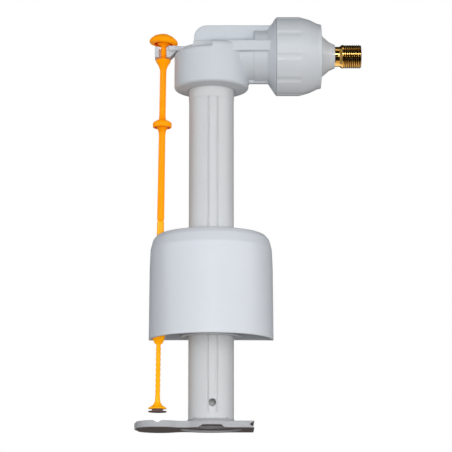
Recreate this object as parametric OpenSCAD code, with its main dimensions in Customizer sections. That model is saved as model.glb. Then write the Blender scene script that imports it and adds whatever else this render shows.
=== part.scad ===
// Side-inlet float valve for a cistern.
// Origin: on the inlet axis, where the spigot's thread starts. +X points out of the inlet, +Z up.

/* [Inlet] */
// Outside radius of the spigot's thread
thread_r = 8.33; // [8.2:0.01:8.4]
// Length of the spigot's thread
thread_len = 13.3; // [12:0.1:18]
// Radius of the spigot's water bore
spigot_bore_r = 5.2; // [4.6:0.1:5.6]
// Outside radius of the union nut
nut_r = 27.6; // [26.8:0.1:28]
// Number of grip pads round the union nut
nut_pads = 10; // [6:1:12]

/* [Column] */
// Distance from the thread's start back to the column's axis
column_reach = 91.8; // [91:0.1:93]
// Outside radius of the column tube
tube_r = 15.6; // [15.4:0.1:15.7]
// Radius of the column head
head_r = 26; // [25.5:0.1:27]
// Height of the foot's underside
foot_z = -262.6; // [-275:0.1:-262]

/* [Float] */
// Outside radius of the float at its lower rim
float_r = 42.8; // [42.6:0.1:44.5]
// Height of the float's top
float_top_z = -128.5; // [-129:0.1:-128]
// Height of the float's lower rim
float_rim_z = -201.2; // [-206:0.1:-199]
// Thickness of the float's wall
float_wall = 1.8; // [1.4:0.1:2.2]

/* [Level rod] */
// Lean of the level rod from upright, in degrees
rod_lean = 0.62; // [0:0.01:1]
// Radius of the rod's knob
knob_r = 10.2; // [8:0.1:12]
// Radius of the rod's stop collar
collar_r = 6.55; // [5:0.05:8]

/* [Hidden] */
$fn = 64;
eps = 0.01;
col = -column_reach;

// Valve barrel, along the inlet axis
barrel_r = 18.4;
barrel_x = -62;
flare_r = 27;
flare_x = -46.5;
sleeve_r = 23.6;
sleeve_end_x = -30;
nut_back_x = -46.4;
nut_face_x = -14.9;
seat_bore_r = 21;
diaphragm_x = -41.5;
diaphragm_t = 2;
diaphragm_r = 12.4;
chamber_r = 9;
chamber_x = -58.5;
insert_r = 4.02;
nozzle_r = 5.6;
nozzle_bore_r = 4.2;
pin_z = 2.5;
pin_r = 0.55;
recess_x = -60.3;
recess_r = 12.5;
pilot_face_x = -61.6;
pilot_gap = 0.65;
pad_r = 2.4;

// Column head and bridge
head_bottom_z = -25.3;
head_top_z = 1.8;
bridge_top_z = 6.4;
bridge_bottom_z = -1.2;
bridge_start_x = -91.4;
bridge_y = 21;
trough_y = 13;
tube_top_z = -9.2;
collar_end_z = -32.2;
socket_gap = 0.15;

// Transfer duct
duct_left_x = -104.1;
duct_y = 8;
duct_bottom_z = 8;
duct_top_z = 20.7;
duct_corner_r = 9;
leg_y = 6.8;
leg_right_x = -86;

// Lever
pivot_x = -63.9;
pivot_z = -9;
lever_pin_r = 1.2;
boss_r = 2.6;
boss_y = 5.5;
slot_y = 6;
pin_end_y = 12;
arm_right_x = -62.3;
fork_x = -125.65;

// Column tube and foot
groove_w = 1;
groove_d = 0.8;
rib_half_angle = 11.65;
rib_turn = 4;
foot_t = 4.8;
foot_top_z = foot_z + foot_t;
foot_left_x = -144;
foot_right_x = -62.3;

// Level rod, along its own axis
rod_r = 2.25;
rod_joint_z = -118.2;
joint_spigot_r = 1.2;
adjuster_r = 1.65;

white = [0.80, 0.81, 0.83];
orange = [1.0, 0.60, 0.02];

// ---------- helpers ----------

// Cylinder or cone along X
module xcyl(x0, x1, r0, r1 = -1) {
    translate([x0, 0, 0]) rotate([0, 90, 0])
        cylinder(h = x1 - x0, r1 = r0, r2 = r1 < 0 ? r0 : r1);
}

// Cylinder or cone on the column's axis
module ccyl(z0, z1, r0, r1 = -1) {
    translate([col, 0, z0]) cylinder(h = z1 - z0, r1 = r0, r2 = r1 < 0 ? r0 : r1);
}

// Places its children on the level rod's axis
module on_rod() {
    translate([fork_x, 0, 0]) rotate([0, rod_lean, 0]) children();
}

// Cylinder or cone on the level rod's axis
module rcyl(z0, z1, r0, r1 = -1) {
    on_rod() translate([0, 0, z0]) cylinder(h = z1 - z0, r1 = r0, r2 = r1 < 0 ? r0 : r1);
}

// Box from its lowest to its highest corner
module span(lo, hi) {
    translate(lo) cube(hi - lo);
}

// Profile of [x, radius] points turned about the inlet axis
module turned_x(points) {
    rotate([0, 90, 0]) rotate_extrude()
        polygon([for (p = points) [p[1], p[0]]]);
}

// Ring of round section about the inlet axis
module xring(x, ring_r, section_r) {
    translate([x, 0, 0]) rotate([0, 90, 0]) rotate_extrude()
        translate([ring_r, 0]) circle(r = section_r);
}

// ---------- inlet ----------

module inlet_spigot() {
    color([0.85, 0.66, 0.33]) difference() {
        turned_x([[-18, 0], [-18, 9], [-14.5, 9], [-14.5, 7.3], [0, 7.3], [0, thread_r],
            [thread_len - 0.6, thread_r], [thread_len, thread_r - 0.6], [thread_len, 0]]);
        xcyl(-18 - eps, thread_len + eps, spigot_bore_r);
    }
}

module inlet_adapter() {
    color(white) difference() {
        turned_x([[sleeve_end_x, 0], [sleeve_end_x, 20.6], [-20.2, 20.6], [-18.4, 19],
            [-17.6, 19], [-17.6, 15.3], [nut_face_x, 15.3], [-12, 12.5], [-9.2, 10],
            [-6.3, 8.7], [-5.2, 8.4], [-5.2, 0]]);
        xcyl(sleeve_end_x - eps, -18, 9);
        xcyl(-18 - eps, -14.5, 9);
        xcyl(-14.5 - eps, 0, 7.3);
        xring(sleeve_end_x, 17, 1.2);
    }
}

module inlet_filter() {
    wall = 0.6;
    slots = 8;
    color("ivory") difference() {
        union() {
            xcyl(-12, 5, 4.4);
            xcyl(5, 6.5, spigot_bore_r);
        }
        xcyl(-12 + wall, 6.5 + eps, 4.4 - wall);
        for (i = [0 : slots - 1]) rotate([i * 360 / slots, 0, 0])
            span([-10.5, -0.4, 2], [3.5, 0.4, 6]);
    }
}

module flow_regulator() {
    color("dimgray") difference() {
        xcyl(-17, -13, spigot_bore_r);
        xcyl(-17 - eps, -13 + eps, 1.3);
        xcyl(-14.5, -13 + eps, 3.4);
    }
}

module adapter_seal() {
    color([0.12, 0.12, 0.12]) intersection() {
        xring(sleeve_end_x, 17, 1.2);
        xcyl(sleeve_end_x, sleeve_end_x + 2, 19);
    }
}

module union_nut() {
    pad_w = 14.6;
    nut_turn = 15;
    land_r = nut_r - 0.7;
    color(white) rotate([nut_turn, 0, 0]) difference() {
        union() {
            turned_x([[nut_back_x, 0], [nut_back_x, land_r], [-28.5, land_r], [-23.3, 25.5],
                [-17.6, 22.7], [nut_face_x, 22.5], [nut_face_x, 0]]);
            intersection() {
                turned_x([[nut_back_x, 0], [nut_back_x, nut_r], [-30, nut_r],
                    [-27.2, land_r - 0.2], [-27.2, 0]]);
                for (i = [0 : nut_pads - 1]) rotate([(i + 0.5) * 360 / nut_pads, 0, 0])
                    span([nut_back_x, -nut_r - 1, -pad_w / 2], [-27, -25, pad_w / 2]);
            }
        }
        xcyl(nut_back_x - eps, -29.6, sleeve_r + 0.1);
        xcyl(-29.6 - eps, -20.2, 20.9);
        xcyl(-20.2 - eps, -17.6, 20.9, 19.2);
        xcyl(-17.6 - eps, nut_face_x + eps, 15.6);
    }
}

// ---------- body ----------

// Round head below the bridge, with rounded edges and a slightly conical underside
module head_solid() {
    edge = 2;
    edge_z = head_bottom_z + 1;
    top_edge = 2.2;
    translate([col, 0, 0]) rotate_extrude() union() {
        polygon([[0, head_bottom_z], [tube_r + 1.5, head_bottom_z], [head_r - edge, edge_z],
            [head_r - edge, edge_z + edge], [head_r, edge_z + edge],
            [head_r, head_top_z - top_edge], [head_r - top_edge, head_top_z - top_edge],
            [head_r - top_edge, head_top_z], [0, head_top_z]]);
        intersection() {
            translate([head_r - edge, edge_z + edge]) circle(r = edge);
            translate([head_r - edge, edge_z]) square(edge);
        }
        intersection() {
            translate([head_r - top_edge, head_top_z - top_edge]) circle(r = top_edge);
            translate([head_r - top_edge, head_top_z - top_edge]) square(top_edge);
        }
    }
}

// Raised half of the head: side walls of the lever's trough
module raised_half() {
    edge = 4;
    top = bridge_top_z - 0.4;
    intersection() {
        translate([col, 0, 0]) rotate_extrude() union() {
            polygon([[0, head_top_z - 4], [head_r, head_top_z - 4], [head_r, top - edge],
                [head_r - edge, top - edge], [head_r - edge, top], [0, top]]);
            intersection() {
                translate([head_r - edge, top - edge]) circle(r = edge);
                translate([head_r - edge, top - edge]) square(edge);
            }
        }
        span([bridge_start_x, -30, -10], [barrel_x, 30, 10]);
    }
}

// Duct seen from the side: a bar with one round corner, turned down into the leg
module duct_outline() {
    translate([duct_left_x, duct_bottom_z])
        square([-47 - duct_left_x, duct_top_z - duct_bottom_z - duct_corner_r]);
    translate([duct_left_x + duct_corner_r, duct_bottom_z])
        square([-47 - duct_left_x - duct_corner_r, duct_top_z - duct_bottom_z]);
    translate([duct_left_x + duct_corner_r, duct_top_z - duct_corner_r])
        circle(r = duct_corner_r);
}

// Head, raised half and the two bridge cheeks, with the lever's trough cut out
module head_block() {
    difference() {
        union() {
            head_solid();
            raised_half();
            for (side = [-1, 1])
                span([bridge_start_x, side > 0 ? trough_y : -bridge_y, bridge_bottom_z],
                    [-47, side > 0 ? bridge_y : -trough_y, bridge_top_z]);
        }
        span([bridge_start_x - eps, -trough_y, head_top_z], [barrel_x, trough_y, bridge_top_z + 1]);
        // room for the lever's boss
        cross_pin(boss_r + 0.4, slot_y);
    }
}

// Cylinder of half length half_y across the body, on the lever's pivot
module cross_pin(r, half_y) {
    translate([pivot_x, half_y, pivot_z]) rotate([90, 0, 0]) cylinder(h = 2 * half_y, r = r);
}

// Neck between the head and the barrel, slotted for the lever and holding its pin
module neck() {
    neck_r = 17.6;
    neck_left_x = -74;
    neck_right_x = barrel_x + 1;
    slot_floor_z = -12.9;
    difference() {
        intersection() {
            xcyl(neck_left_x, neck_right_x, neck_r);
            span([neck_left_x, -neck_r, -neck_r], [neck_right_x, neck_r, head_top_z]);
        }
        span([pivot_x - 4, -slot_y, slot_floor_z], [neck_right_x + 1, slot_y, head_top_z + 1]);
    }
}

module main_body() {
    web_y = 2;
    web_bottom_z = -19.6;
    web_top_z = -12.9;
    color(white) difference() {
        union() {
            head_block();
            // web under the barrel, from the head to the flare
            span([-68, -web_y, web_bottom_z], [flare_x - 1, web_y, web_top_z]);
            // duct and its leg
            rotate([90, 0, 0]) translate([0, 0, -duct_y])
                linear_extrude(height = 2 * duct_y) duct_outline();
            span([duct_left_x, -leg_y, head_top_z - 1], [leg_right_x, leg_y, duct_bottom_z + 1]);
            // barrel, flare and threaded sleeve, with the neck at the barrel's back
            difference() {
                union() {
                    turned_x([[barrel_x, 0], [barrel_x, barrel_r], [-52.6, barrel_r],
                        [flare_x - 0.3, flare_r], [flare_x, flare_r], [flare_x, sleeve_r],
                        [sleeve_end_x, sleeve_r], [sleeve_end_x, 0]]);
                    neck();
                }
                xcyl(barrel_x - eps, recess_x, recess_r);
            }
            // pilot nozzle
            xcyl(pilot_face_x, recess_x + eps, 1.4, 2.6);
        }
        // water way: seat bore, diaphragm step, control chamber and pilot hole
        xcyl(-38, sleeve_end_x + eps, seat_bore_r);
        xcyl(diaphragm_x, -38 + eps, diaphragm_r + 0.2);
        xcyl(chamber_x, diaphragm_x + eps, chamber_r);
        xcyl(pilot_face_x - eps, chamber_x + eps, 0.7);
        translate([0, 0, pin_z]) xcyl(chamber_x - 1.5, chamber_x + eps, pin_r);
        // duct channel, from the seat bore over the chamber and down the leg
        span([-101.4, -5.5, 13.6], [-38 + eps, 5.5, 17]);
        span([-101.4, -5.5, 10.6], [-64, 5.5, 17]);
        span([-101.4, -4.4, -7], [-89, 4.4, 17]);
        // column socket and the space above it
        ccyl(head_bottom_z - eps, -7.5, tube_r + 0.2 + socket_gap);
        ccyl(-7.5 - eps, -5, 11);
        // lever pin's holes, closed at their outer ends
        cross_pin(lever_pin_r, pin_end_y);
        // gate mark on the duct's side
        translate([-68, -duct_y - eps, 10.2]) rotate([-90, 0, 0]) cylinder(h = 0.7, r = 0.9);
    }
}

module valve_seat() {
    windows = 4;
    color("whitesmoke") difference() {
        union() {
            xcyl(-33, sleeve_end_x, seat_bore_r - 0.1);
            xcyl(diaphragm_x + diaphragm_t, -33 + eps, diaphragm_r);
        }
        // annular water space round the nozzle
        difference() {
            xcyl(diaphragm_x + diaphragm_t - eps, -33, 10.2);
            xcyl(-36.6, -33 + eps, nozzle_r);
        }
        xcyl(-36.6 - eps, sleeve_end_x + eps, nozzle_bore_r);
        for (i = [0 : windows - 1]) rotate([i * 360 / windows, 0, 0])
            span([-37.6, -4, 8], [-33, 4, 14]);
    }
}

module diaphragm() {
    bead_ring_r = 7.6;
    color([0.15, 0.15, 0.16]) difference() {
        union() {
            xcyl(diaphragm_x, diaphragm_x + diaphragm_t, diaphragm_r);
            xring(diaphragm_x, bead_ring_r, 1.2);
        }
        xcyl(diaphragm_x - 2, diaphragm_x + diaphragm_t + eps, insert_r + 0.08);
        xring(diaphragm_x + diaphragm_t, bead_ring_r, 1.2);
    }
}

module diaphragm_insert() {
    color("gainsboro") difference() {
        union() {
            xcyl(-45, -43.4, 5.8);
            xcyl(-43.4 - eps, -39.1, insert_r);
            xcyl(-39.1 - eps, -38.2, 6.2);
        }
        translate([0, 0, pin_z]) xcyl(-46, -38, pin_r + 0.08);
    }
}

module metering_pin() {
    color("silver") translate([0, 0, pin_z]) xcyl(chamber_x - 1.5, -34, pin_r);
}

// ---------- column ----------

module column_tube() {
    bore_r = 13.3;
    hole_r = 2.5;
    hole_z = -245;
    tube_collar_r = tube_r + 0.2;
    seal_floor_r = 14.4;
    color([0.79, 0.80, 0.80]) difference() {
        // tube, its collar and the seal's groove in one profile
        translate([col, 0, 0]) rotate_extrude() polygon([[bore_r, foot_top_z - 2],
            [tube_r, foot_top_z - 2], [tube_r, collar_end_z], [tube_collar_r, collar_end_z],
            [tube_collar_r, -17.1], [seal_floor_r, -17.1], [seal_floor_r, -14.9], [tube_collar_r, -14.9],
            [tube_collar_r, tube_top_z], [bore_r, tube_top_z]]);
        // two grooves that leave a rib between them
        translate([col, 0, 0]) for (side = [-1, 1]) rotate([0, 0, rib_turn + side * rib_half_angle])
            span([-groove_w / 2, -tube_r - 1, foot_top_z + 5], [groove_w / 2, groove_d - tube_r,
                collar_end_z - 0.3]);
        // air hole through the rib
        translate([col, 0, hole_z]) rotate([90, 0, rib_turn]) cylinder(h = 20, r = hole_r);
    }
}

module column_seal() {
    color([0.12, 0.12, 0.12]) translate([col, 0, -16]) rotate_extrude()
        translate([15.15, 0]) circle(r = 0.72);
}

module silencer_tube() {
    color("white") difference() {
        union() {
            ccyl(foot_top_z + 8, tube_top_z + eps, 6.4);
            ccyl(tube_top_z, tube_top_z + 1.5, 15.2);
        }
        ccyl(foot_top_z + 7, tube_top_z + 2, 5.4);
    }
}

// Centre of a circle that is d0 from the point p0 and d1 from p1, on their left side
function meeting(p0, d0, p1, d1) =
    let (d = norm(p1 - p0), u = (p1 - p0) / d, a = (d0 * d0 - d1 * d1 + d * d) / (2 * d))
    p0 + a * u + sqrt(d0 * d0 - a * a) * [-u.y, u.x];

// Foot seen from above: a wide lobe at the left, a waist, the column's boss and a right lobe
module foot_outline() {
    lobe = [-127.4, 11];
    lobe_r = 15;
    boss = [col, 0];
    boss_r = 24;
    waist_r = 10;
    waist = meeting(lobe, lobe_r + waist_r, boss, boss_r + waist_r);
    for (side = [-1, 1]) scale([1, side]) {
        translate(lobe) circle(r = lobe_r);
        difference() {
            polygon([[lobe.x, 0], lobe, waist, boss]);
            translate(waist) circle(r = waist_r);
        }
    }
    translate([lobe.x, 0]) circle(r = lobe.x - foot_left_x);
    translate(boss) circle(r = boss_r);
    translate([col, -21]) square([foot_right_x - col, 42]);
}

module foot_plate() {
    notch = 3.6;
    mid_z = foot_z + foot_t / 2;
    fillet_r = 3.6;
    arch_h = 1.9;
    color([0.66, 0.66, 0.68]) difference() {
        union() {
            translate([0, 0, foot_z]) linear_extrude(height = foot_t) foot_outline();
            // hollow fillet round the column
            translate([col, 0, foot_top_z - eps]) rotate_extrude() difference() {
                translate([tube_r - 1, 0]) square([fillet_r + 1, fillet_r]);
                translate([tube_r + fillet_r, fillet_r]) circle(r = fillet_r);
            }
        }
        // socket for the column and the outlet below it
        ccyl(foot_top_z - 2, foot_top_z + 6, tube_r);
        ccyl(foot_z - eps, foot_top_z, 12);
        // hollow underside below the column
        ccyl(foot_z - eps, foot_z + 1.8, 21);
        // shallow arch in the front edge
        translate([col, -18, foot_z - eps]) rotate([90, 0, 0]) linear_extrude(height = 8)
            polygon([[-8.6, 0], [-5.4, arch_h], [7.2, arch_h], [9, 0]]);
        // V groove across the right end
        translate([0, 30, 0]) rotate([90, 0, 0]) linear_extrude(height = 60)
            polygon([[foot_right_x + 1, mid_z - foot_t / 2 - 0.4], [foot_right_x - notch, mid_z],
                [foot_right_x + 1, mid_z + foot_t / 2 + 0.4]]);
        // V groove across the left lobe's top
        translate([0, 30, 0]) rotate([90, 0, 0]) linear_extrude(height = 60)
            polygon([[-130.4, foot_top_z + eps], [-127.4, foot_top_z - 1.6],
                [-124.4, foot_top_z + eps]]);
    }
}

// ---------- lever ----------

// Ring of the lever seen from above, with its two left corners cut off
module ring_outline(left_x, right_x, half_y, left_half_y) {
    slope_x = left_x + half_y - left_half_y;
    polygon([[right_x, -half_y], [right_x, half_y], [slope_x, half_y], [left_x, left_half_y],
        [left_x, -left_half_y], [slope_x, -half_y]]);
}

// Boss and arm at the pivot, the bar with its ring round the duct's leg, and the fork block
module lever() {
    arm_y = 5;
    bar_y = 6;
    ring_left_x = -110.8;
    ring_right_x = -80.5;
    space_right_x = -84.5;
    side_right_x = -83.5;
    low = 2.9;
    high = 6;
    side_top = 8.6;
    block_left_x = -131.6;
    block_right_x = -120.9;
    block_top = 6.6;
    color(white) difference() {
        union() {
            cross_pin(boss_r, boss_y);
            span([-65.5, -arm_y, pivot_z], [arm_right_x, arm_y, low + eps]);
            span([ring_right_x - 1, -arm_y, low], [arm_right_x, arm_y, high]);
            // ring, with higher sides beside the duct's leg
            translate([0, 0, low]) linear_extrude(height = high - low)
                ring_outline(ring_left_x, ring_right_x, 12, bar_y);
            for (side = [-1, 1])
                span([-104.4, side > 0 ? 8.4 : -12, low], [side_right_x, side > 0 ? 12 : -8.4, side_top]);
            // bar, sloping up to the fork block
            rotate([90, 0, 0]) translate([0, 0, -bar_y]) linear_extrude(height = 2 * bar_y)
                polygon([[block_right_x - 1, low], [ring_left_x + 1, low], [ring_left_x + 1, high],
                    [block_right_x, block_top], [block_right_x - 1, block_top]]);
            // fork block and the gusset behind it
            span([block_left_x, -4, -1.4], [block_right_x, bar_y, block_top]);
            rotate([90, 0, 0]) translate([0, 0, -bar_y]) linear_extrude(height = bar_y + 4)
                polygon([[block_right_x - 1, -1.4], [block_right_x, -1.4], [-116.5, low],
                    [-116.5, low + 1], [block_right_x - 1, low + 1]]);
        }
        // space for the duct's leg
        translate([0, 0, low - 1]) linear_extrude(height = side_top)
            ring_outline(-106.9, space_right_x, 8.4, 6.6);
        // fork slot, open to the front
        span([fork_x - 3, -7, -5], [fork_x + 2.2, 2.6, 8]);
        cross_pin(lever_pin_r + 0.05, 20);
        // pocket for the pilot pad
        xcyl(arm_right_x - 1, arm_right_x + 1, pad_r);
    }
}

module lever_pin() {
    color("silver") cross_pin(lever_pin_r, pin_end_y);
}

module pilot_pad() {
    color([0.15, 0.15, 0.16]) xcyl(arm_right_x - 1, pilot_face_x - pilot_gap, pad_r);
}

// ---------- level rod ----------

module upper_rod() {
    knob_z = 10.2;
    neck_r = 1.75;
    dome_h = 6;
    dome_r = (knob_r * knob_r + dome_h * dome_h) / (2 * dome_h);
    flange_r = 5.3;
    color(orange) difference() {
        union() {
            // knob: a dome, with a rounded underside and a ring recess in it
            on_rod() intersection() {
                translate([0, 0, knob_z + dome_h - dome_r]) sphere(r = dome_r);
                translate([0, 0, knob_z - eps]) cylinder(h = dome_h + 1, r = knob_r);
            }
            difference() {
                rcyl(knob_z - 1.2, knob_z, 6.6, knob_r - 0.3);
                rcyl(knob_z - 1.3, knob_z + 0.6, 5.6);
            }
            rcyl(knob_z - 1.6, knob_z + 0.1, neck_r, 3.6);
            rcyl(-3, knob_z, neck_r);
            // flange and its cone
            rcyl(-3.5, -2.6, flange_r);
            rcyl(-9.2, -3.5 + eps, rod_r, flange_r);
            rcyl(-46, -9.2 + eps, rod_r);
            // stop collar
            rcyl(-48.2, -45.8, collar_r, rod_r);
            rcyl(-51.4, -48.2 + eps, collar_r);
            rcyl(-53.8, -51.4 + eps, rod_r, collar_r);
            rcyl(-117, -53.8 + eps, rod_r + 0.25, rod_r);
            rcyl(rod_joint_z, -117 + eps, 2.05);
            rcyl(rod_joint_z - 4, rod_joint_z + eps, joint_spigot_r);
        }
        // ring recess under the knob
        difference() {
            rcyl(knob_z - 2, knob_z + 0.8, 5.6);
            rcyl(knob_z - 2, knob_z + 1, 3.6);
        }
    }
}

module adjuster_rod() {
    head_r = 2.5;
    plate_r = 6.3;
    color([1.0, 0.72, 0.06]) difference() {
        on_rod() rotate_extrude() polygon([[0, rod_joint_z], [head_r, rod_joint_z],
            [head_r, -130], [adjuster_r, -133], [adjuster_r, -242], [2.4, -244.8], [3.8, -246.3],
            [plate_r, -247.4], [plate_r, -248.2], [3.7, -248.3], [3.7, -249.5], [plate_r, -249.6],
            [plate_r, -250.4], [0, -250.4]]);
        rcyl(rod_joint_z - 4, rod_joint_z + eps, joint_spigot_r);
    }
}

module float_clip() {
    clip_gap = 0.6;
    color([1.0, 0.66, 0.04]) difference() {
        union() {
            rcyl(-199, -190, 3.5);
            rcyl(-200, -198, 4.15);
            rcyl(-203.5, -200 + eps, 2.6, 4.15);
        }
        rcyl(-204, -189, adjuster_r + clip_gap);
    }
}

// ---------- float ----------

module float_shell() {
    w = float_wall;
    sleeve_in = 16.2;
    lip_r = sleeve_in + 4.8;
    rear_slant = 7.6;
    t = float_top_z;
    b = float_rim_z;
    color([0.85, 0.86, 0.88]) difference() {
        union() {
            translate([col, 0, 0]) rotate_extrude() polygon([[float_r, b],
                [float_r - 0.5, t - 13.5], [float_r - 1.1, t - 8.8], [float_r - 2.3, t - 4.2],
                [float_r - 3.7, t - 0.8], [float_r - 5, t], [sleeve_in, t],
                [sleeve_in, b + 2.7], [lip_r - 1.2, b + 1.7], [lip_r, b + 1.7],
                [lip_r, b + 2.5], [sleeve_in + w, b + 5.5],
                [sleeve_in + w, t - w], [float_r - 5 - w, t - w], [float_r - 3.7 - w, t - w - 0.8],
                [float_r - 2.3 - w, t - 5.6], [float_r - 1.1 - w, t - 9.6],
                [float_r - 0.5 - w, t - 14], [float_r - w, b]]);
            // boss that the level rod passes through, tied to the outer wall
            difference() {
                union() {
                    rcyl(-198, t - 9, 5.2);
                    span([col - float_r + 1, -1.2, b + 6], [-131, 1.2, t - 15]);
                }
                rcyl(-240, -100, 4.6);
            }
        }
        rcyl(-150, -100, 3.7);
        // the rim rises towards the rear
        translate([col, 0, b]) rotate([rear_slant, 0, 0])
            span([-float_r - 1, 0, -12], [float_r + 1, float_r + 4, 0]);
    }
}

inlet_spigot();
inlet_adapter();
inlet_filter();
flow_regulator();
adapter_seal();
union_nut();
main_body();
valve_seat();
diaphragm();
diaphragm_insert();
metering_pin();
column_tube();
column_seal();
silencer_tube();
foot_plate();
lever();
lever_pin();
pilot_pad();
upper_rod();
adjuster_rod();
float_clip();
float_shell();
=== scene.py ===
import math

import bpy
import bmesh
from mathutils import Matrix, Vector


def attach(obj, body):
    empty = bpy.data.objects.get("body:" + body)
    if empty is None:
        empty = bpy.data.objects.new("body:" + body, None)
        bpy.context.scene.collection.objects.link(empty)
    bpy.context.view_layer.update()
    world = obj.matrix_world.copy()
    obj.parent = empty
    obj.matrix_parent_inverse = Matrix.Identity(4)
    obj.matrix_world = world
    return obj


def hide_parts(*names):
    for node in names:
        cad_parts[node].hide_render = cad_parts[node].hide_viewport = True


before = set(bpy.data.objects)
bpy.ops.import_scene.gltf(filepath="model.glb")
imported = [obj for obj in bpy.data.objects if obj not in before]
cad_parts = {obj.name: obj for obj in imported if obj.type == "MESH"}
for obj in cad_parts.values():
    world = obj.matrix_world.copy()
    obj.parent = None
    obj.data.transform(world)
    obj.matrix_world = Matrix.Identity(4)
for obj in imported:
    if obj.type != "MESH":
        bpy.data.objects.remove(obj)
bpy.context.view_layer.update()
scene = bpy.context.scene

MM = 0.001
TAU = 2 * math.pi

# Dimensions shared with the CAD part, in millimetres.
COLUMN_X = -91.8
FORK_X = -125.65
ROD_LEAN = math.radians(0.62)
THREAD_R = 8.33
THREAD_PITCH = 1.337
THREAD_LENGTH = 13.3
NUT_R = 27.6
TUBE_R = 15.6
FOOT_TOP_Z = -257.8
FLOAT_R = 42.8
FLOAT_TOP_Z = -128.5
FLOAT_RIM_Z = -201.2
FLOAT_WALL = 1.8
FLOAT_SLANT = math.radians(7.6)


# ---------- camera ----------
# A long lens below the valve that looks up at it.
camera_data = bpy.data.cameras.new("camera")
camera_data.sensor_width = 36
camera_data.lens = 151.3
camera_data.shift_y = 0.058
camera_data.dof.use_dof = False
camera = bpy.data.objects.new("camera", camera_data)
camera.location = (-0.0816, -1.2933, -0.3673)
camera.rotation_euler = (math.radians(90 + 9.98), 0, 0)
scene.collection.objects.link(camera)
scene.camera = camera
scene.view_settings.view_transform = "Standard"


# ---------- node helpers ----------

class Graph:
    """A node tree with short calls for adding and joining nodes."""

    def __init__(self, tree):
        self.tree = tree
        tree.nodes.clear()

    def add(self, kind, inputs=None, **settings):
        node = self.tree.nodes.new(kind)
        for key, value in settings.items():
            setattr(node, key, value)
        for key, value in (inputs or {}).items():
            self.put(node.inputs[key], value)
        return node

    def put(self, socket, value):
        if isinstance(value, bpy.types.NodeSocket):
            self.tree.links.new(value, socket)
        elif isinstance(value, bpy.types.Node):
            self.tree.links.new(value.outputs[0], socket)
        else:
            socket.default_value = value

    def math(self, operation, *values, clamp=False):
        node = self.add("ShaderNodeMath", operation=operation, use_clamp=clamp)
        for socket, value in zip(node.inputs, values):
            self.put(socket, value)
        return node.outputs[0]

    def ramp(self, factor, stops):
        """A colour ramp through (position, colour) stops."""
        node = self.add("ShaderNodeValToRGB", {"Fac": factor})
        elements = node.color_ramp.elements
        while len(elements) < len(stops):
            elements.new(0.5)
        for element, (position, colour) in zip(elements, stops):
            element.position = position
            element.color = (*colour, 1)
        return node.outputs["Color"]

    def noise(self, coordinates, size_mm, detail=3.0, stretch=(1, 1, 1)):
        """Noise whose features are about size_mm across, stretched along the axes."""
        scale = 1 / (size_mm * MM)
        mapping = self.add("ShaderNodeMapping", {"Vector": coordinates})
        mapping.inputs["Scale"].default_value = [scale / s for s in stretch]
        node = self.add("ShaderNodeTexNoise", {"Vector": mapping})
        node.inputs["Scale"].default_value = 1.0
        node.inputs["Detail"].default_value = detail
        return node.outputs["Fac"]


def tinted(colour, factor):
    return tuple(min(1.0, c * factor) for c in colour)


def grey(value):
    return (value, value, value)


# ---------- light ----------
# White behind the valve, soft light from the front, and for the glossy parts a dark studio
# with one long bright strip, as in a product photograph.
world = bpy.data.worlds.new("studio")
scene.world = world
world.use_nodes = True
sky = Graph(world.node_tree)
ray = sky.add("ShaderNodeLightPath")
sky_place = sky.add("ShaderNodeTexCoord").outputs["Generated"]
direction = sky.add("ShaderNodeSeparateXYZ", {0: sky_place})
height = sky.math("MULTIPLY_ADD", direction.outputs["Z"], 0.5, 0.5)
AMBIENT = 0.52
ambient = sky.ramp(height, [
    (0.00, (0.22, 0.20, 0.19)),
    (0.28, (0.34, 0.32, 0.31)),
    (0.42, (1.05, 1.07, 1.10)),
    (0.60, (1.00, 1.02, 1.05)),
    (1.00, (0.40, 0.42, 0.46)),
])
glossy_front = sky.ramp(height, [
    (0.00, (0.75, 0.60, 0.42)),
    (0.045, (0.70, 0.52, 0.32)),
    (0.07, (0.015, 0.013, 0.012)),
    (0.585, (0.02, 0.02, 0.02)),
    (0.605, (9.0, 9.2, 9.6)),
    (0.645, (9.0, 9.2, 9.6)),
    (0.66, (0.03, 0.03, 0.03)),
    (0.93, (0.03, 0.025, 0.02)),
    (0.955, (1.10, 0.95, 0.72)),
    (0.975, (1.10, 0.95, 0.72)),
    (1.00, (0.03, 0.03, 0.03)),
])
glossy_rear = sky.ramp(height, [
    (0.00, (0.70, 0.58, 0.45)),
    (0.02, (1.15, 1.10, 1.05)),
    (0.24, (1.15, 1.12, 1.10)),
    (0.32, (0.05, 0.05, 0.05)),
    (1.00, (0.03, 0.03, 0.03)),
])
behind = sky.math("MULTIPLY_ADD", direction.outputs["Y"], 8.0, 0.5, clamp=True)
glossy = sky.add("ShaderNodeMix", data_type="RGBA")
sky.put(glossy.inputs["Factor"], behind)
sky.put(glossy.inputs["A"], glossy_front)
sky.put(glossy.inputs["B"], glossy_rear)
soft_background = sky.add("ShaderNodeBackground", {"Color": ambient, "Strength": AMBIENT})
glossy_background = sky.add("ShaderNodeBackground", {"Color": glossy.outputs["Result"]})
white_background = sky.add("ShaderNodeBackground", {"Color": (1, 1, 1, 1), "Strength": 1.0})
lit = sky.add("ShaderNodeMixShader", {"Fac": ray.outputs["Is Glossy Ray"],
                                      1: soft_background, 2: glossy_background})
seen = sky.add("ShaderNodeMixShader", {"Fac": ray.outputs["Is Camera Ray"],
                                       1: lit, 2: white_background})
sky.add("ShaderNodeOutputWorld", {"Surface": seen})


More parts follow.
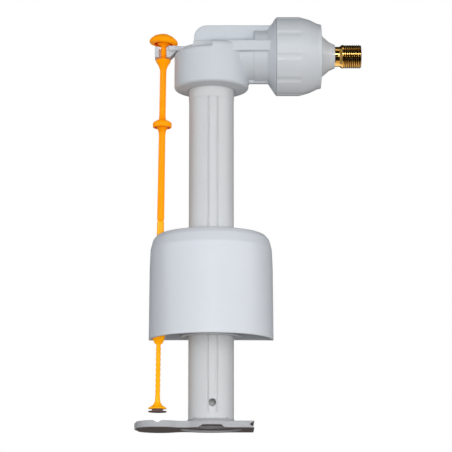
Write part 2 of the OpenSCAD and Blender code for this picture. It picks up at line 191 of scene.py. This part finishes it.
def softbox(name, location, target, width, tall, power, colour=(1, 1, 1), glossy=False):
    """A rectangular area light that faces its target."""
    data = bpy.data.lights.new(name, "AREA")
    data.shape = "RECTANGLE"
    data.size = width
    data.size_y = tall
    data.energy = power
    data.color = colour
    light = bpy.data.objects.new(name, data)
    light.location = location
    aim = Vector(target) - Vector(location)
    light.rotation_euler = aim.to_track_quat("-Z", "Y").to_euler()
    light.visible_glossy = glossy
    light.visible_camera = False
    scene.collection.objects.link(light)
    return light


TARGET = (-0.08, 0, -0.12)
softbox("key", (0.05, -0.95, -0.31), TARGET, 1.0, 0.16, 3.9, (1.0, 0.995, 0.99))
softbox("panel", (-0.10, -0.95, -0.13), (-0.09, 0, -0.2), 0.16, 0.12, 0.8, (0.93, 0.97, 1.0),
        glossy=True)
softbox("fill_left", (-1.2, -0.7, -0.22), TARGET, 0.8, 0.7, 2.4, (0.96, 0.98, 1.0))
softbox("fill_right", (1.0, -0.7, -0.22), TARGET, 0.8, 0.7, 2.6, (1.0, 0.995, 0.98))


# ---------- materials ----------

def surface(name):
    material = bpy.data.materials.new(name)
    material.use_nodes = True
    graph = Graph(material.node_tree)
    place = graph.add("ShaderNodeTexCoord").outputs["Object"]
    shader = graph.add("ShaderNodeBsdfPrincipled")
    graph.add("ShaderNodeOutputMaterial", {"Surface": shader})
    return material, graph, place, shader


def plastic(name, colour, roughness=0.42, mottle=0.02, grain_mm=0.35, grain=0.006,
            flow=(1, 1, 6), scatter=0.0, scatter_colour=None, glow=0.0, seam=None, bevel_mm=0.0,
            specular=0.5, dark_tip=None, hollow=None, underside=None):
    """Injection-moulded plastic: fine grain, faint flow marks, slightly paler edges.

    seam is (axis, place in mm) of the mould's parting line, and bevel_mm softens hard edges.
    dark_tip is (height in mm, colour) of painted shade on the end below that height, and
    hollow is (depth in mm, colour) of painted shade in recesses. underside is the colour
    of painted shade on the faces that look down.
    """
    material, graph, place, shader = surface(name)
    clouds = graph.noise(place, 9.0, 4.0, flow)
    specks = graph.noise(place, 1.2, 2.0)
    worn = graph.add("ShaderNodeNewGeometry").outputs["Pointiness"]
    tone = graph.math("ADD", graph.math("MULTIPLY", clouds, 0.75),
                      graph.math("MULTIPLY", specks, 0.25))
    base = graph.ramp(tone, [(0.30, tinted(colour, 1 - mottle)),
                             (0.70, tinted(colour, 1 + mottle))])
    edges = graph.math("MULTIPLY", graph.math("SUBTRACT", worn, 0.52, clamp=True), 2.5, clamp=True)
    mix = graph.add("ShaderNodeMix", data_type="RGBA")
    graph.put(mix.inputs["Factor"], edges)
    graph.put(mix.inputs["A"], base)
    graph.put(mix.inputs["B"], (*tinted(colour, 1.10), 1))
    # Painted shade: recesses found by ambient occlusion are darkened towards the hollow colour.
    if hollow:
        depth, deep = hollow
        openness = graph.add("ShaderNodeAmbientOcclusion", samples=8, only_local=True)
        openness.inputs["Distance"].default_value = depth * MM
        shade = graph.add("ShaderNodeMix", data_type="RGBA")
        closed = graph.math("SUBTRACT", 1.0, openness.outputs["AO"])
        graph.put(shade.inputs["Factor"], graph.math("MULTIPLY", closed, 2.0, clamp=True))
        graph.put(shade.inputs["A"], mix.outputs["Result"])
        graph.put(shade.inputs["B"], (*deep, 1))
        mix = shade
    # Painted shade: faces that look down are darkened towards the underside colour.
    if underside:
        normal = graph.add("ShaderNodeNewGeometry").outputs["True Normal"]
        facing = graph.add("ShaderNodeSeparateXYZ", {0: normal}).outputs["Z"]
        down = graph.math("MULTIPLY", facing, -1.0)
        underside_shade = graph.add("ShaderNodeMix", data_type="RGBA")
        graph.put(underside_shade.inputs["Factor"], graph.math("MULTIPLY_ADD", down, 3.0, -1.6, clamp=True))
        graph.put(underside_shade.inputs["A"], mix.outputs["Result"])
        graph.put(underside_shade.inputs["B"], (*underside, 1))
        mix = underside_shade
    # Painted shade: below the given height the colour turns to the dark tip colour.
    if dark_tip:
        level, stain_and_shade = dark_tip
        up = graph.add("ShaderNodeSeparateXYZ", {0: place}).outputs["Z"]
        tipped = graph.add("ShaderNodeMix", data_type="RGBA")
        graph.put(tipped.inputs["Factor"], graph.math("LESS_THAN", up, level * MM))
        graph.put(tipped.inputs["A"], mix.outputs["Result"])
        graph.put(tipped.inputs["B"], (*stain_and_shade, 1))
        mix = tipped
    graph.put(shader.inputs["Base Color"], mix.outputs["Result"])
    shine = graph.math("MULTIPLY_ADD", clouds, 0.16, roughness - 0.08)
    graph.put(shader.inputs["Roughness"], shine)
    relief = graph.math("ADD", graph.math("MULTIPLY", graph.noise(place, grain_mm, 3.0), grain),
                        graph.math("MULTIPLY", clouds, grain * 2.5))
    if seam:
        axis, position = seam
        across = graph.add("ShaderNodeSeparateXYZ", {0: place}).outputs[axis]
        away = graph.math("ABSOLUTE", graph.math("SUBTRACT", across, position * MM))
        line = graph.math("SUBTRACT", 1.0, graph.math("DIVIDE", away, 0.22 * MM), clamp=True)
        relief = graph.math("ADD", relief, graph.math("MULTIPLY", line, 0.05))
    bump = graph.add("ShaderNodeBump", {"Height": relief, "Strength": 1.0, "Distance": MM})
    if bevel_mm:
        soft = graph.add("ShaderNodeBevel", samples=4)
        soft.inputs["Radius"].default_value = bevel_mm * MM
        graph.put(bump.inputs["Normal"], soft)
    graph.put(shader.inputs["Normal"], bump)
    shader.inputs["IOR"].default_value = 1.47
    shader.inputs["Specular IOR Level"].default_value = specular
    if scatter:
        shader.inputs["Subsurface Weight"].default_value = scatter
        shader.inputs["Subsurface Radius"].default_value = scatter_colour or (1.0, 0.95, 0.9)
        shader.inputs["Subsurface Scale"].default_value = 1.5 * MM
    # Painted light: the plastic also gives off light in its own colour.
    if glow:
        graph.put(shader.inputs["Emission Color"], mix.outputs["Result"])
        shader.inputs["Emission Strength"].default_value = glow
    return material


def metal(name, pale, deep, roughness, mark_mm, axis, roots=None):
    """Turned metal: marks across the axis, slightly uneven tone and polish.

    roots is (lower, upper) radius in mm round the X axis of a thread whose grooves get painted
    shade.
    """
    material, graph, place, shader = surface(name)
    along = graph.add("ShaderNodeSeparateXYZ", {0: place}).outputs[axis]
    wander = graph.noise(place, 4.0, 3.0)
    turns = graph.math("MULTIPLY_ADD", along, TAU / (mark_mm * MM),
                       graph.math("MULTIPLY", wander, 3.0))
    marks = graph.math("MULTIPLY_ADD", graph.math("SINE", turns), 0.5, 0.5)
    stain_and_shade = graph.noise(place, 3.0, 5.0, (1, 2, 2))
    base = graph.ramp(stain_and_shade, [(0.30, deep), (0.68, pale)])
    # Painted shade: the thread's roots are darkened, deepest at the smallest radius.
    if roots:
        sides = graph.add("ShaderNodeSeparateXYZ", {0: place})
        squares = [graph.math("POWER", sides.outputs[side], 2.0) for side in ("Y", "Z")]
        radius = graph.math("SQRT", graph.math("ADD", *squares))
        lower, upper = roots
        crest = graph.add("ShaderNodeMapRange", {"Value": radius})
        crest.inputs["From Min"].default_value = lower * MM
        crest.inputs["From Max"].default_value = upper * MM
        root = graph.math("MULTIPLY", graph.math("SUBTRACT", 1.0, crest.outputs["Result"]),
                          graph.math("GREATER_THAN", sides.outputs["X"], 0.4 * MM))
        root_shade = graph.add("ShaderNodeMix", data_type="RGBA")
        graph.put(root_shade.inputs["Factor"], root)
        graph.put(root_shade.inputs["A"], base)
        graph.put(root_shade.inputs["B"], (*tinted(deep, 0.12), 1))
        base = root_shade.outputs["Result"]
    graph.put(shader.inputs["Base Color"], base)
    graph.put(shader.inputs["Roughness"],
              graph.math("ADD", graph.math("MULTIPLY_ADD", stain_and_shade, 0.10, roughness - 0.05),
                         graph.math("MULTIPLY", marks, 0.04)))
    relief = graph.math("ADD", graph.math("MULTIPLY", marks, 0.0012),
                        graph.math("MULTIPLY", graph.noise(place, 0.25, 2.0), 0.002))
    bump = graph.add("ShaderNodeBump", {"Height": relief, "Strength": 1.0, "Distance": MM})
    graph.put(shader.inputs["Normal"], bump)
    shader.inputs["Metallic"].default_value = 1.0
    shader.inputs["Anisotropic"].default_value = 0.35
    return material


def rubber(name, colour):
    """Moulded rubber: dull, with a fine bloom of paler dust."""
    material, graph, place, shader = surface(name)
    bloom = graph.noise(place, 2.0, 5.0)
    graph.put(shader.inputs["Base Color"],
              graph.ramp(bloom, [(0.35, colour), (0.75, tinted(colour, 1.8))]))
    graph.put(shader.inputs["Roughness"], graph.math("MULTIPLY_ADD", bloom, 0.2, 0.6))
    bump = graph.add("ShaderNodeBump", {"Height": graph.noise(place, 0.2, 3.0), "Strength": 0.6,
                                        "Distance": 0.02 * MM})
    graph.put(shader.inputs["Normal"], bump)
    return material


body_plastic = plastic("body_plastic", (0.65, 0.685, 0.72), 0.45, seam=("Y", 0.0), flow=(5, 1, 1))
nut_plastic = plastic("nut_plastic", (0.68, 0.71, 0.74), 0.42, flow=(5, 1, 1))
adapter_plastic = plastic("adapter_plastic", (0.65, 0.66, 0.67), 0.40)
tube_plastic = plastic("tube_plastic", (0.665, 0.675, 0.68), 0.40, flow=(1, 1, 12))
float_plastic = plastic("float_plastic", (0.74, 0.77, 0.81), 0.38, mottle=0.015, flow=(2, 2, 4),
                        scatter=0.3)
# The foot's faces that look down get dark brown painted shade.
foot_plastic = plastic("foot_plastic", (0.50, 0.505, 0.525), 0.50, specular=0.15,
                       underside=(0.10, 0.075, 0.07))
lever_plastic = plastic("lever_plastic", (0.64, 0.665, 0.69), 0.42, flow=(6, 1, 1))
# The orange and amber plastics below glow in their own colour, which is painted light.
ORANGE = (1.0, 0.33, 0.001)
AMBER = (1.0, 0.41, 0.002)
# The orange knob's recesses get dark red painted shade.
orange_plastic = plastic("orange_plastic", ORANGE, 0.34, mottle=0.04, flow=(1, 1, 8), glow=0.32,
                         scatter=0.2, scatter_colour=(1.0, 0.35, 0.05), specular=0.12,
                         hollow=(5.0, (0.45, 0.02, 0.0)))
amber_plastic = plastic("amber_plastic", AMBER, 0.22, mottle=0.04, flow=(1, 1, 5), glow=0.34,
                        scatter=0.25, scatter_colour=(1.0, 0.4, 0.05), specular=0.25)
# The rod's end plate below -248.3 mm gets dark brown painted shade.
tip_plastic = plastic("tip_plastic", AMBER, 0.26, mottle=0.04, flow=(1, 1, 5), glow=0.34,
                      specular=0.2, dark_tip=(-248.3, (0.10, 0.065, 0.06)))
# The spigot's thread roots get painted shade.
brass = metal("brass", (0.96, 0.66, 0.24), (0.80, 0.42, 0.07), 0.10, 0.18, "X",
              roots=(THREAD_R - 0.55, THREAD_R - 0.1))
steel = metal("steel", (0.66, 0.66, 0.67), (0.50, 0.50, 0.52), 0.25, 0.15, "Y")
seal_rubber = rubber("seal_rubber", (0.018, 0.018, 0.020))
acetal = plastic("acetal", (0.80, 0.80, 0.79), 0.30, bevel_mm=0.15)
silencer_plastic = plastic("silencer_plastic", (0.74, 0.75, 0.75), 0.38, flow=(1, 1, 9),
                           bevel_mm=0.2)
filter_nylon = plastic("filter_nylon", (0.72, 0.69, 0.58), 0.50, bevel_mm=0.1)
regulator_plastic = plastic("regulator_plastic", (0.10, 0.105, 0.115), 0.45, bevel_mm=0.1)

# CAD nodes whose shape stays as it is.
KEPT = {
    "inlet_filter": filter_nylon,
    "flow_regulator": regulator_plastic,
    "adapter_seal": seal_rubber,
    "valve_seat": acetal,
    "diaphragm": seal_rubber,
    "diaphragm_insert": acetal,
    "metering_pin": steel,
    "column_seal": seal_rubber,
    "silencer_tube": silencer_plastic,
    "lever_pin": steel,
    "pilot_pad": seal_rubber,
}
for node_name, material in KEPT.items():
    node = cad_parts[node_name]
    if not node.material_slots:
        node.data.materials.append(material)
    for material_slot in node.material_slots:
        material_slot.material = material


# ---------- mesh helpers ----------

def smoothstep(low, high, value):
    t = min(1.0, max(0.0, (value - low) / (high - low)))
    return t * t * (3 - 2 * t)


def on_inlet(along, radius, angle):
    """A point round the inlet axis. Angle 0 faces the front, and 90 degrees is up."""
    return (along, -radius * math.cos(angle), radius * math.sin(angle))


def on_column(along, radius, angle):
    """A point round the column's axis. Angle 0 faces the front."""
    return (COLUMN_X + radius * math.sin(angle), -radius * math.cos(angle), along)


def on_rod(along, radius, angle):
    """A point round the leaning level rod's axis. Angle 0 faces the front."""
    x = radius * math.sin(angle)
    return (FORK_X + x * math.cos(ROD_LEAN) + along * math.sin(ROD_LEAN),
            -radius * math.cos(angle),
            along * math.cos(ROD_LEAN) - x * math.sin(ROD_LEAN))


def rounded(profile, radius, steps=4):
    """A closed profile of (along, radius, optional corner radius) with its corners rounded."""
    out = []
    count = len(profile)
    for i, corner in enumerate(profile):
        size = corner[2] if len(corner) > 2 else radius
        here = Vector(corner[:2])
        before = Vector(profile[i - 1][:2]) - here
        after = Vector(profile[(i + 1) % count][:2]) - here
        if size <= 0 or min(corner[1], before.length, after.length) < 1e-6:
            out.append((here.x, here.y))
            continue
        half = before.angle(after) / 2
        reach = min(size / math.tan(half), 0.45 * before.length, 0.45 * after.length)
        start, end = here + before.normalized() * reach, here + after.normalized() * reach
        for k in range(steps + 1):
            t = k / steps
            point = start.lerp(here, t).lerp(here.lerp(end, t), t)
            out.append((point.x, point.y))
    return out


def divided(profile, step, low, high):
    """The closed profile with points added between low and high along the axis."""
    out = []
    for (a0, r0), (a1, r1) in zip(profile, profile[1:] + profile[:1]):
        out.append((a0, r0))
        middle = (a0 + a1) / 2
        pieces = math.ceil(math.hypot(a1 - a0, r1 - r0) / step) if low < middle < high else 1
        for k in range(1, pieces):
            out.append((a0 + (a1 - a0) * k / pieces, r0 + (r1 - r0) * k / pieces))
    return out


def add_piece(name, mesh, material, body, slot, *nodes):
    piece = bpy.data.objects.new(name, mesh)
    scene.collection.objects.link(piece)
    mesh.materials.clear()
    mesh.materials.append(material)
    for polygon in mesh.polygons:
        polygon.use_smooth = True
    if nodes:
        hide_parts(*nodes)
    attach(piece, body)
    return piece


def to_mesh(name, form):
    """Ends a bmesh in millimetres: welded, faced outwards and scaled to metres."""
    bmesh.ops.remove_doubles(form, verts=form.verts, dist=1e-4)
    bmesh.ops.dissolve_degenerate(form, edges=form.edges, dist=1e-4)
    bmesh.ops.recalc_face_normals(form, faces=form.faces)
    bmesh.ops.scale(form, vec=(MM, MM, MM), verts=form.verts)
    mesh = bpy.data.meshes.new(name)
    form.to_mesh(mesh)
    form.free()
    return mesh


def turn(form, profile, place, angles, shape=None):
    """Turns a closed profile of (along, radius) about an axis into form.

    angles is a count or a list of angles, and shape(along, radius, angle) may change both numbers.
    """
    if isinstance(angles, int):
        angles = [TAU * i / angles for i in range(angles)]
    rings = []
    for angle in angles:
        ring = []
        for along, radius in profile:
            if shape:
                along, radius = shape(along, radius, angle)
            ring.append(form.verts.new(place(along, radius, angle)))
        rings.append(ring)
    for ring, following in zip(rings, rings[1:] + rings[:1]):
        for j in range(len(profile)):
            k = (j + 1) % len(profile)
            if profile[j][1] < 1e-6 and profile[k][1] < 1e-6:
                continue
            form.faces.new((ring[j], ring[k], following[k], following[j]))
    return form


def evaluated(piece):
    """The piece's mesh with its modifiers applied."""
    graph = bpy.context.evaluated_depsgraph_get()
    graph.update()
    return bpy.data.meshes.new_from_object(piece.evaluated_get(graph))


def cut(mesh, tool_mesh):
    """mesh with tool_mesh taken away."""
    body = bpy.data.objects.new("cut_body", mesh)
    tool = bpy.data.objects.new("cut_tool", tool_mesh)
    for item in (body, tool):
        scene.collection.objects.link(item)
    modifier = body.modifiers.new("cut", "BOOLEAN")
    modifier.operation = "DIFFERENCE"
    modifier.solver = "EXACT"
    modifier.object = tool
    result = evaluated(body)
    for item in (body, tool):
        bpy.data.objects.remove(item)
    return result


def even_shading(piece):
    """Keeps flat faces flat beside their rounded edges."""
    modifier = piece.modifiers.new("even_shading", "WEIGHTED_NORMAL")
    modifier.weight = 80
    modifier.keep_sharp = True
    return piece


def moulded(name, node_name, voxel_mm, rounds, keep, material, body, slot):
    """A soft-edged moulding from a CAD node: remeshed, smoothed and thinned out."""
    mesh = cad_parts[node_name].data.copy()
    form = bmesh.new()
    form.from_mesh(mesh)
    bmesh.ops.remove_doubles(form, verts=form.verts, dist=1e-6)
    form.to_mesh(mesh)
    form.free()
    work = bpy.data.objects.new(name + "_work", mesh)
    scene.collection.objects.link(work)
    remesh = work.modifiers.new("remesh", "REMESH")
    remesh.mode = "VOXEL"
    remesh.voxel_size = voxel_mm * MM
    smooth = work.modifiers.new("smooth", "SMOOTH")
    smooth.factor = 0.5
    smooth.iterations = rounds
    thin = work.modifiers.new("thin", "DECIMATE")
    thin.ratio = keep
    result = evaluated(work)
    bpy.data.objects.remove(work)
    result.name = name
    return add_piece(name, result, material, body, slot, node_name)


# ---------- inlet ----------

def build_spigot():
    """Brass inlet with a rolled thread, a necked shank and a bored mouth."""
    depth = 0.62
    runout = 1.6
    chamfer = 0.7
    shank_r = 7.9
    mouth_r = 5.6
    profile = rounded([
        (-18, 5.2, 0.2), (-18, 9, 0.2), (-14.5, 9, 0.2), (-14.5, 7.3, 0), (-5.6, 7.3, 0.4),
        (-4.6, 7.0, 0.6), (-1.9, 7.0, 0.6), (0, THREAD_R, 0.3), (THREAD_LENGTH, THREAD_R, 0),
        (THREAD_LENGTH, 5.2, 0.35)], 0.3)
    profile = divided(profile, THREAD_PITCH / 12, 0, THREAD_LENGTH)

    def threaded(along, radius, angle):
        if radius < shank_r:
            return along, radius
        phase = along / THREAD_PITCH - angle / TAU
        tooth = 0.5 - 0.5 * math.cos(TAU * phase)
        groove = depth * (1 - tooth) * smoothstep(0.2, runout, along)
        end = THREAD_R - max(0, along - (THREAD_LENGTH - chamfer)) * 1.1
        return along, min(radius - groove, max(end, mouth_r))

    form = turn(bmesh.new(), profile, on_inlet, 144, threaded)
    mesh = to_mesh("spigot", form)
    return add_piece("brass_spigot", mesh, brass, "root", "brass", "inlet_spigot")


def build_adapter():
    """Cone between the union nut and the spigot."""
    profile = rounded([
        (-30, 18.4, 0), (-30, 20.6, 0.3), (-20.2, 20.6, 0.3), (-18.4, 19, 0.2), (-17.6, 19, 0.2),
        (-17.6, 15.3, 0.2), (-15.2, 15.3, 0.9), (-12, 12.5, 3), (-9.2, 10.1, 3), (-6.3, 8.75, 1.5),
        (-5.2, 8.4, 0.3), (-5.2, 7.3, 0.15), (-14.5, 7.3, 0), (-14.5, 9, 0.1), (-30, 9, 0.2),
        (-30, 15.7, 0), (-29, 16.3, 0), (-28.8, 17, 0), (-29, 17.7, 0)], 0.2, 5)
    form = turn(bmesh.new(), profile, on_inlet, 128)
    piece = add_piece("inlet_cone", to_mesh("inlet_cone", form), adapter_plastic, "root",
                      "body_white", "inlet_adapter")
    return even_shading(piece)


def build_nut():
    """Union nut with low grip pads that fade into its rounded shoulder."""
    pads = 10
    pad_half = math.radians(15.6)
    first = math.radians(3)
    height = 0.5
    land = NUT_R - height
    pad_low_r = 24.6
    soft_in, soft_out = 0.055, 0.02
    pad_end_x, fade_x = -28.4, -30.2
    profile = rounded([
        (-46.42, 23.75, 0.2), (-46.42, land, 0.15), (-28.3, land, 2.5), (-23.0, 25.6, 5),
        (-17.4, 22.9, 1.2), (-14.9, 22.5, 0.7), (-14.9, 15.7, 0.4), (-17.6, 15.7, 0.2),
        (-17.6, 19.2, 0.1), (-20.2, 20.9, 0.1), (-29.6, 20.9, 0), (-29.6, 23.75, 0)], 0.3, 5)
    profile = divided(profile, 0.9, -45.3, -24)

    def padded(along, radius, angle):
        if radius < pad_low_r:
            return along, radius
        pitch = TAU / pads
        from_centre = abs((angle - first + pitch / 2) % pitch - pitch / 2)
        side = 1 - smoothstep(pad_half - soft_in, pad_half + soft_out, from_centre)
        end = 1 - smoothstep(fade_x, pad_end_x, along)
        return along, radius + height * side * end

    form = turn(bmesh.new(), profile, on_inlet, 480, padded)
    return add_piece("grip_nut", to_mesh("grip_nut", form), nut_plastic, "root", "nut_white",
                     "union_nut")


# ---------- column ----------

def build_tube():
    """Column tube with two soft grooves, the rib between them and an air hole."""
    rib_turn = math.radians(4)
    groove_angle = math.radians(11.65)
    groove_half = math.radians(3.1)
    groove_depth = 0.9
    groove_top = -32.4
    groove_low = FOOT_TOP_Z + 5
    low, top = FOOT_TOP_Z - 2, -9.2
    bore_r = 13.3
    collar_r = TUBE_R + 0.2
    hole_r, hole_z = 2.5, -245
    profile = rounded([
        (low, bore_r, 0.1), (low, TUBE_R, 0.1), (groove_low, TUBE_R, 0),
        (groove_low + 2, TUBE_R, 0), (groove_top - 1, TUBE_R, 0), (groove_top, TUBE_R, 0),
        (groove_top + 0.3, collar_r, 0.1),
        (-17.1, collar_r, 0), (-17.1, 14.4, 0.1), (-14.9, 14.4, 0.1), (-14.9, collar_r, 0),
        (top, collar_r, 0.3), (top, bore_r, 0.2)], 0.2)

    def grooved(along, radius, angle):
        if abs(radius - TUBE_R) > 0.05:
            return along, radius
        level = (smoothstep(groove_low, groove_low + 2, along)
                 * (1 - smoothstep(groove_top - 1, groove_top, along)))
        from_rib = abs((angle - rib_turn + math.pi) % TAU - math.pi)
        away = abs(from_rib - groove_angle)
        hollow = 1 - smoothstep(groove_half * 0.35, groove_half, away)
        return along, radius - groove_depth * level * hollow

    grooved_half = 17
    fine = [rib_turn + math.radians(grooved_half * (i / 34 - 1)) for i in range(69)]
    coarse = [rib_turn + math.radians(grooved_half + (360 - 2 * grooved_half) * i / 130)
              for i in range(1, 130)]
    form = turn(bmesh.new(), profile, on_column, fine + coarse, grooved)
    mesh = to_mesh("tube", form)

    hole = bmesh.new()
    profile = [(TUBE_R - 6, 0), (TUBE_R - 6, hole_r), (TUBE_R - 0.35, hole_r),
               (TUBE_R + 1, hole_r + 1.35), (TUBE_R + 1, 0)]

    def across(along, radius, angle):
        x, y = radius * math.cos(angle), -along
        return (COLUMN_X + x * math.cos(rib_turn) - y * math.sin(rib_turn),
                x * math.sin(rib_turn) + y * math.cos(rib_turn), hole_z + radius * math.sin(angle))

    turn(hole, profile, across, 40)
    mesh = cut(mesh, to_mesh("hole", hole))
    piece = add_piece("ribbed_tube", mesh, tube_plastic, "root", "tube_white", "column_tube")
    return even_shading(piece)


# ---------- float ----------

def build_float():
    """Cup float: outer wall, rounded shoulder, inner sleeve, rod boss and stay."""
    top, rim, wall = FLOAT_TOP_Z, FLOAT_RIM_Z, FLOAT_WALL
    sleeve = 16.2
    lip = sleeve + 4.8
    bend = rim + 22
    rod_hole_r = 3.7
    boss_in, boss_out = 4.6, 5.2
    boss_low, boss_top = -198, top - 9
    profile = rounded([
        (rim, FLOAT_R - wall, 0.4), (rim, FLOAT_R, 0.6), (top - 24, FLOAT_R - 0.35, 10),
        (top - 10, FLOAT_R - 0.9, 9), (top - 3.4, FLOAT_R - 2.7, 5), (top, FLOAT_R - 5.6, 3.6),
        (top, sleeve, 0.9), (rim + 2.9, sleeve, 2), (rim + 1.7, lip - 1.2, 1),
        (rim + 1.7, lip, 0.3), (rim + 2.5, lip, 0.3), (rim + 5.5, sleeve + wall, 2.5),
        (top - wall, sleeve + wall, 1),
        (top - wall, FLOAT_R - 5.8 - wall, 2.5), (top - 5.2, FLOAT_R - 2.8 - wall, 3),
        (top - 14, FLOAT_R - 0.8 - wall, 5)], 0.5, 8)
    profile = divided(profile, 4.0, rim + 3, bend)

    def raised(along, radius, angle):
        """Lifts the rim towards the rear, more the further back it is."""
        if along < bend:
            lift = max(0, -radius * math.cos(angle)) * math.tan(FLOAT_SLANT)
            along += lift * (bend - along) / (bend - rim)
        return along, radius

    form = turn(bmesh.new(), profile, on_column, 192, raised)
    cup = to_mesh("cup", form)
    rod_hole = turn(bmesh.new(), [(-150, 0), (-150, rod_hole_r), (-100, rod_hole_r), (-100, 0)],
                    on_rod, 48)
    cup = cut(cup, to_mesh("rod_hole", rod_hole))

    inside = bmesh.new()
    inside.from_mesh(cup)
    bmesh.ops.scale(inside, vec=(1 / MM,) * 3, verts=inside.verts)
    boss = rounded([(boss_low, boss_in), (boss_low, boss_out), (boss_top, boss_out),
                    (boss_top, boss_in)], 0.2)
    turn(inside, boss, on_rod, 64)
    stay = bmesh.ops.create_cube(inside, size=1.0)["verts"]
    near, far = COLUMN_X - FLOAT_R + 1, -133.4
    low, high = rim + 6, top - 15
    bmesh.ops.scale(inside, vec=(far - near, 2.0, high - low), verts=stay)
    bmesh.ops.translate(inside, vec=((near + far) / 2, 0, (low + high) / 2), verts=stay)
    mesh = to_mesh("float", inside)
    piece = add_piece("cup_float", mesh, float_plastic, "float", "float_white", "float_shell")
    return even_shading(piece)


# ---------- level rod ----------

def build_upper_rod():
    """Orange rod: mushroom knob, neck, flange and a ridged shank with a stop collar."""
    knob_tip = 0.07
    knob_low, stalk_r, cap_r = 7.6, 1.9, 6
    shank_r = 2.6
    shank_top, shank_low = -9, -116
    collar_top, collar_low = -42, -58
    ridge_turn = math.radians(12)
    ridge_depth = 0.15
    profile = rounded([
        (16.2, 0, 0), (15.8, 3.4, 2.5), (14.4, 6.6, 2.5), (12.1, 9.3, 1.8), (10.3, 10.15, 0.6),
        (9.2, 9.5, 0.8), (8.5, 6.7, 0.5), (11.4, 6.2, 0.5), (11.4, 4.8, 0.5), (9.0, 4.4, 0.6),
        (8.2, 2.8, 0.5), (7.3, 1.8, 0.5), (-1.6, 1.75, 0.8), (-2.6, 3.2, 0.6), (-2.6, 5.2, 0.35),
        (-3.5, 5.3, 0.4), (-6.8, 3.3, 3), (-9.6, 2.3, 2), (-14, 2.25, 0), (-43, 2.25, 0),
        (-45.6, 2.5, 1), (-47.3, 5.6, 0.8), (-48.2, 6.6, 0.5), (-51.2, 6.6, 0.5), (-51.4, 5.4, 0.3),
        (-50.4, 4.9, 0.3), (-51.2, 4.1, 0.5), (-53.6, 2.7, 1.2), (-56.5, 2.3, 0), (-114, 2.5, 0),
        (-116.6, 2.5, 0.3), (-117.2, 2.1, 0.3), (-118.15, 2.1, 0.2), (-118.15, 0, 0)], 0.4, 4)
    profile = divided(profile, 2.5, shank_low, shank_top)

    def ridged(along, radius, angle):
        """Tips the knob a little and gives the shank four soft ridges."""
        if along > knob_low:
            drop = knob_tip * radius * math.sin(angle) * smoothstep(stalk_r, cap_r, radius)
            return along - drop, radius
        if radius > shank_r or along > shank_top:
            return along, radius
        level = (smoothstep(shank_top - 0.6, shank_top - 5, along)
                 * smoothstep(shank_low, shank_low + 6, along))
        if collar_low < along < collar_top:
            level = max(smoothstep(collar_top - 3.5, collar_top, along),
                        smoothstep(collar_low + 4, collar_low, along))
        lobes = abs(math.cos(2 * (angle - ridge_turn)))
        return along, radius * (1 - ridge_depth * level * (1 - lobes ** 0.8))

    form = turn(bmesh.new(), profile, on_rod, 96, ridged)
    return add_piece("knob_rod", to_mesh("knob_rod", form), orange_plastic, "rod", "rod_orange",
                     "upper_rod")


def build_adjuster_rod():
    """Amber lower rod: beaded shank for the float's clip and a double end plate."""
    pitch = 3.6
    shank_r = 1.65
    beads_top, beads_low = -134, -241
    bead_depth = 0.22
    profile = rounded([
        (-118.25, 0, 0), (-118.25, 2.45, 0.3), (-130, 2.5, 1), (-133, shank_r, 1),
        (-240.5, shank_r, 0), (-243.6, 2.0, 2), (-245.6, 3.2, 1.5), (-247.0, 5.4, 0.8),
        (-247.5, 6.3, 0.2), (-248.1, 6.3, 0.2), (-248.4, 3.7, 0.3), (-249.4, 3.7, 0.3),
        (-249.7, 6.3, 0.2), (-250.4, 6.3, 0.2), (-250.4, 0, 0)], 0.4, 4)
    profile = divided(profile, pitch / 10, beads_low + 0.4, beads_top)

    def beaded(along, radius, angle):
        if radius > shank_r + 0.05 or along > beads_top:
            return along, radius
        level = (smoothstep(beads_top, beads_top - 3, along)
                 * smoothstep(beads_low, beads_low + 4, along))
        wave = abs(math.sin(math.pi * along / pitch))
        return along, radius * (1.03 - bead_depth * level * (1 - wave ** 0.7))

    form = turn(bmesh.new(), profile, on_rod, 48, beaded)
    return add_piece("beaded_rod", to_mesh("beaded_rod", form), tip_plastic, "rod",
                     "adjuster_amber", "adjuster_rod")


def build_clip():
    """Amber clip that holds the float on the beaded rod."""
    bore_r = 2.25
    profile = rounded([
        (-190, bore_r, 0.2), (-190, 3.5, 0.5), (-197.4, 3.5, 0.5), (-198.2, 4.15, 0.3),
        (-200.3, 4.1, 0.8), (-203.5, 2.6, 0.4), (-203.5, bore_r, 0.1)], 0.3, 4)
    form = turn(bmesh.new(), profile, on_rod, 64)
    piece = add_piece("rod_clip", to_mesh("rod_clip", form), amber_plastic, "float",
                      "adjuster_amber", "float_clip")
    return even_shading(piece)


build_spigot()
build_adapter()
build_nut()
moulded("valve_body", "main_body", 0.45, 5, 0.30, body_plastic, "root", "body_white")
moulded("lever_arm", "lever", 0.35, 4, 0.35, lever_plastic, "lever", "lever_white")
moulded("foot", "foot_plate", 0.45, 6, 0.30, foot_plastic, "root", "foot_grey")
build_tube()
build_float()
build_upper_rod()
build_adjuster_rod()
build_clip()


# ---------- floor ----------
# A pale floor below the camera. The valve hangs by its inlet above it.
FLOOR_Z = -0.40
floor_form = bmesh.new()
bmesh.ops.create_grid(floor_form, x_segments=8, y_segments=8, size=2.5)
bmesh.ops.translate(floor_form, vec=(-0.08, 0, FLOOR_Z), verts=floor_form.verts)
floor_mesh = bpy.data.meshes.new("floor")
floor_form.to_mesh(floor_mesh)
floor_form.free()
floor = bpy.data.objects.new("floor", floor_mesh)
floor_material, floor_graph, floor_place, floor_shader = surface("floor_pale")
floor_tone = floor_graph.noise(floor_place, 60.0, 4.0)
floor_graph.put(floor_shader.inputs["Base Color"],
                floor_graph.ramp(floor_tone, [(0.3, grey(0.80)), (0.7, grey(0.84))]))
floor_shader.inputs["Roughness"].default_value = 0.8
floor_mesh.materials.append(floor_material)
floor.visible_diffuse = False
floor.visible_glossy = False
scene.collection.objects.link(floor)

bpy.context.view_layer.update()
